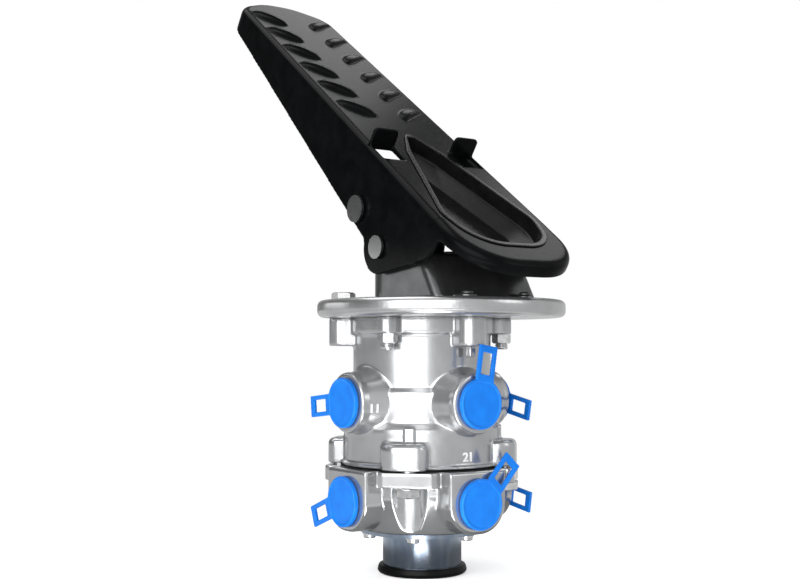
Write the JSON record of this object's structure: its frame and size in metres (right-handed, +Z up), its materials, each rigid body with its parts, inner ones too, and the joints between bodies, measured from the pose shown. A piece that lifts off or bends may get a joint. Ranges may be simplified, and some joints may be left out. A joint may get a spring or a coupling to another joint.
{
  "type": "foot brake valve",
  "caption": "Dual-circuit air brake valve worked by a tilted louvred treadle, with a round floor flange, cast housings, capped side ports and an exhaust tube below.",
  "frame": {"origin": "centre of the mounting flange's underside, where it rests on the cab floor", "axes": "+Z up through the flange and along the valve's axis, +X towards the treadle's heel, -X towards its toe, Y across"},
  "size_m": [0.2889, 0.145, 0.3794],
  "materials": {
    "cast_aluminium": "painted silver, satin",
    "black_steel": "black powder coat",
    "black_plastic": "moulded, satin",
    "zinc_steel": "zinc plated",
    "hard_steel": "ground",
    "turned_aluminium": "turned",
    "brass": "turned",
    "rubber": "black, matt",
    "blue_plastic": "moulded, soft shine"
  },
  "bodies": {
    "valve": {"mounting_flange": "cast_aluminium", "upper_housing": "cast_aluminium", "lower_housing": "cast_aluminium", "body_gasket": "rubber", "flange_bolts": "zinc_steel", "flange_studs": "zinc_steel", "stud_nuts": "zinc_steel", "housing_bolts": "zinc_steel", "exhaust_tube": "zinc_steel", "exhaust_screws": "zinc_steel", "exhaust_ring": "rubber", "exhaust_flap": "rubber", "pedestal": "black_steel", "pedestal_screws": "zinc_steel", "pivot_pins": "zinc_steel", "pivot_washers": "zinc_steel", "guide_bush": "brass", "plunger_boot": "rubber", "piston_return_spring": "zinc_steel", "primary_valve_spring": "zinc_steel", "primary_valve_guide": "brass", "primary_retaining_ring": "zinc_steel", "secondary_valve_spring": "zinc_steel", "secondary_valve_guide": "brass", "secondary_retaining_ring": "zinc_steel"},
    "pedal": {"treadle": "black_steel", "heel_dish": "black_plastic", "roller_pin": "zinc_steel", "pin_clip": "zinc_steel", "spacer_sleeves": "zinc_steel"},
    "pedal_roller": {"roller": "hard_steel"},
    "tappet": {"plunger": "hard_steel", "spring_plate": "zinc_steel"},
    "main_piston": {"primary_piston": "turned_aluminium", "piston_seal": "rubber", "graduating_spring": "rubber"},
    "upper_valve": {"primary_valve": "rubber"},
    "relay": {"relay_piston": "turned_aluminium", "relay_seal": "rubber"},
    "lower_valve": {"secondary_valve": "rubber"},
    "upper_cap_near": {"upper_cap_near": "blue_plastic"},
    "upper_cap_heel": {"upper_cap_heel": "blue_plastic"},
    "upper_cap_far": {"upper_cap_far": "blue_plastic"},
    "upper_cap_toe": {"upper_cap_toe": "blue_plastic"},
    "lower_cap_near": {"lower_cap_near": "blue_plastic"},
    "lower_cap_heel": {"lower_cap_heel": "blue_plastic"},
    "lower_cap_far": {"lower_cap_far": "blue_plastic"},
    "lower_cap_toe": {"lower_cap_toe": "blue_plastic"}
  },
  "joints": [
    {"name": "pedal_pivot", "type": "hinge", "parent": "valve", "child": "pedal", "pos_m": [-0.0055, 0, 0.04], "axis": [0, -1, 0], "range_deg": [0, 18]},
    {"name": "roller_spin", "type": "hinge", "parent": "pedal", "child": "pedal_roller", "pos_m": [-0.027, 0, 0.064], "axis": [0, 1, 0], "continuous": true},
    {"name": "plunger_travel", "type": "slide", "parent": "valve", "child": "tappet", "axis": [0, 0, -1], "range_m": [0, 0.0079], "deforming": ["plunger_boot", "graduating_spring"]},
    {"name": "piston_travel", "type": "slide", "parent": "valve", "child": "main_piston", "axis": [0, 0, -1], "range_m": [0, 0.0031], "deforming": ["piston_return_spring"]},
    {"name": "upper_valve_travel", "type": "slide", "parent": "valve", "child": "upper_valve", "axis": [0, 0, -1], "range_m": [0, 0.0015], "deforming": ["primary_valve_spring"]},
    {"name": "relay_travel", "type": "slide", "parent": "valve", "child": "relay", "axis": [0, 0, -1], "range_m": [0, 0.0027]},
    {"name": "lower_valve_travel", "type": "slide", "parent": "valve", "child": "lower_valve", "axis": [0, 0, -1], "range_m": [0, 0.0011], "deforming": ["secondary_valve_spring"]},
    {"name": "upper_cap_near_pull", "type": "slide", "parent": "valve", "child": "upper_cap_near", "axis": [0, -1, 0], "range_m": [0, 0.012]},
    {"name": "upper_cap_heel_pull", "type": "slide", "parent": "valve", "child": "upper_cap_heel", "axis": [1, 0, 0], "range_m": [0, 0.012]},
    {"name": "upper_cap_far_pull", "type": "slide", "parent": "valve", "child": "upper_cap_far", "axis": [0, 1, 0], "range_m": [0, 0.012]},
    {"name": "upper_cap_toe_pull", "type": "slide", "parent": "valve", "child": "upper_cap_toe", "axis": [-1, 0, 0], "range_m": [0, 0.012]},
    {"name": "lower_cap_near_pull", "type": "slide", "parent": "valve", "child": "lower_cap_near", "axis": [0, -1, 0], "range_m": [0, 0.012]},
    {"name": "lower_cap_heel_pull", "type": "slide", "parent": "valve", "child": "lower_cap_heel", "axis": [1, 0, 0], "range_m": [0, 0.012]},
    {"name": "lower_cap_far_pull", "type": "slide", "parent": "valve", "child": "lower_cap_far", "axis": [0, 1, 0], "range_m": [0, 0.012]},
    {"name": "lower_cap_toe_pull", "type": "slide", "parent": "valve", "child": "lower_cap_toe", "axis": [-1, 0, 0], "range_m": [0, 0.012]}
  ],
  "couplings": [
    {"joint": "plunger_travel", "follows": "pedal_pivot", "m_per_rad": 0.024828},
    {"joint": "piston_travel", "follows": "pedal_pivot", "m_per_rad": 0.009549},
    {"joint": "upper_valve_travel", "follows": "pedal_pivot", "m_per_rad": 0.004456},
    {"joint": "relay_travel", "follows": "pedal_pivot", "m_per_rad": 0.008276},
    {"joint": "lower_valve_travel", "follows": "pedal_pivot", "m_per_rad": 0.003183}
  ]
}
